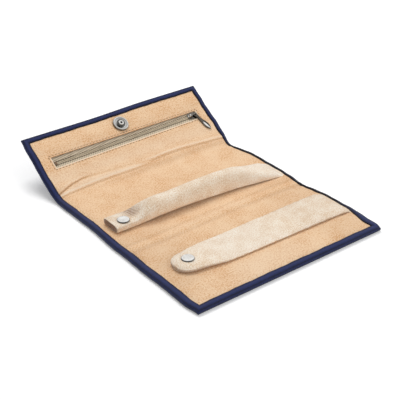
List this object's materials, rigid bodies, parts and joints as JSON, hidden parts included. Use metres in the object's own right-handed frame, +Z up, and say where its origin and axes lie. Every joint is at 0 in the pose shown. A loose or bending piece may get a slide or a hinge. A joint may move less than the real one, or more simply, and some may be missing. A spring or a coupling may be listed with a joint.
{
  "type": "jewelry roll",
  "caption": "Open leather tri-fold jewelry roll, napped lining, padded ring bar, snap-down strap, zip pocket in the raised flap and magnetic snap closure.",
  "frame": {"origin": "middle of the back panel's underside, on the table", "axes": "+X along the width toward the sewn ends of bar and strap, +Y toward the flap, +Z up"},
  "size_m": [0.178, 0.2398, 0.0378],
  "materials": {
    "navy_leather": "fine-grained navy leather, low sheen",
    "napped_lining": "peach-tan lining with a short soft nap",
    "cream_suede": "cream suede, matt",
    "padding": "hidden soft padding",
    "zip_tape": "woven beige-grey tape",
    "bright_nickel": "bright nickel plate",
    "gunmetal": "dark gunmetal plate",
    "magnet": "dark sintered magnet"
  },
  "bodies": {
    "back": {"back_cover": "navy_leather", "back_padding": "padding", "back_lining": "napped_lining", "bar_stud": "bright_nickel", "bar_stud_washer": "bright_nickel"},
    "flap_lower_spine": {"flap_lower_spine_cover": "navy_leather", "flap_lower_spine_lining": "napped_lining"},
    "flap_upper_spine": {"flap_upper_spine_cover": "navy_leather", "flap_upper_spine_lining": "napped_lining", "flap_crease": "navy_leather"},
    "flap": {"flap_cover": "navy_leather", "pocket_back": "napped_lining", "flap_lining": "napped_lining", "zip_tape_upper": "zip_tape", "zip_tape_lower": "zip_tape", "zip_stop": "gunmetal", "snap_button": "bright_nickel", "snap_button_washer": "bright_nickel"},
    "slider": {"zip_slider": "gunmetal"},
    "pull": {"zip_pull": "gunmetal"},
    "front_spine": {"front_spine_cover": "navy_leather", "front_spine_lining": "napped_lining"},
    "front": {"front_cover": "navy_leather", "front_padding": "padding", "front_lining": "napped_lining", "strap_stud": "bright_nickel", "strap_stud_washer": "bright_nickel", "magnet_base": "bright_nickel", "magnet_ring": "magnet", "magnet_case": "bright_nickel", "magnet_washer": "bright_nickel"},
    "bar": {"bar_sleeve": "cream_suede", "bar_filling": "padding", "bar_socket": "bright_nickel", "bar_cap": "bright_nickel"},
    "strap": {"strap": "cream_suede", "strap_socket": "bright_nickel", "strap_cap": "bright_nickel"}
  },
  "joints": [
    {"name": "flap_spine_fold", "type": "hinge", "parent": "back", "child": "flap_lower_spine", "pos_m": [0, 0.03505, 0.004], "axis": [1, 0, 0], "range_deg": [0, 70]},
    {"name": "flap_fold", "type": "hinge", "parent": "flap_lower_spine", "child": "flap_upper_spine", "pos_m": [0, 0.05, 0.004], "axis": [1, 0, 0], "range_deg": [-33, 7], "deforming": ["flap_crease"]},
    {"name": "flap_top_fold", "type": "hinge", "parent": "flap_upper_spine", "child": "flap", "pos_m": [0, 0.06254, 0.01214], "axis": [1, 0, 0], "range_deg": [0, 70]},
    {"name": "front_fold", "type": "hinge", "parent": "back", "child": "front_spine", "pos_m": [0, -0.0386, 0.004], "axis": [-1, 0, 0], "range_deg": [0, 90]},
    {"name": "front_fold_outer", "type": "hinge", "parent": "front_spine", "child": "front", "pos_m": [0, -0.0614, 0.004], "axis": [-1, 0, 0], "range_deg": [0, 90]},
    {"name": "bar_lift", "type": "hinge", "parent": "back", "child": "bar", "pos_m": [0.0839, -0.016, 0.0053], "axis": [0, -1, 0], "range_deg": [-110, 0]},
    {"name": "strap_lift", "type": "hinge", "parent": "front", "child": "strap", "pos_m": [0.0839, -0.08973, 0.00724], "axis": [0, -1, 0], "range_deg": [-120, 0]},
    {"name": "zip_slide", "type": "slide", "parent": "flap", "child": "slider", "axis": [0.9998, 0.0146, 0.0095], "range_m": [-0.135, 0]},
    {"name": "pull_swing", "type": "hinge", "parent": "slider", "child": "pull", "pos_m": [0.0718, 0.07847, 0.02249], "axis": [0, -0.5446, 0.8387], "range_deg": [-50, 14]}
  ],
  "couplings": [
    {"joint": "flap_top_fold", "follows": "flap_spine_fold", "ratio": 1},
    {"joint": "front_fold_outer", "follows": "front_fold", "ratio": 1}
  ]
}
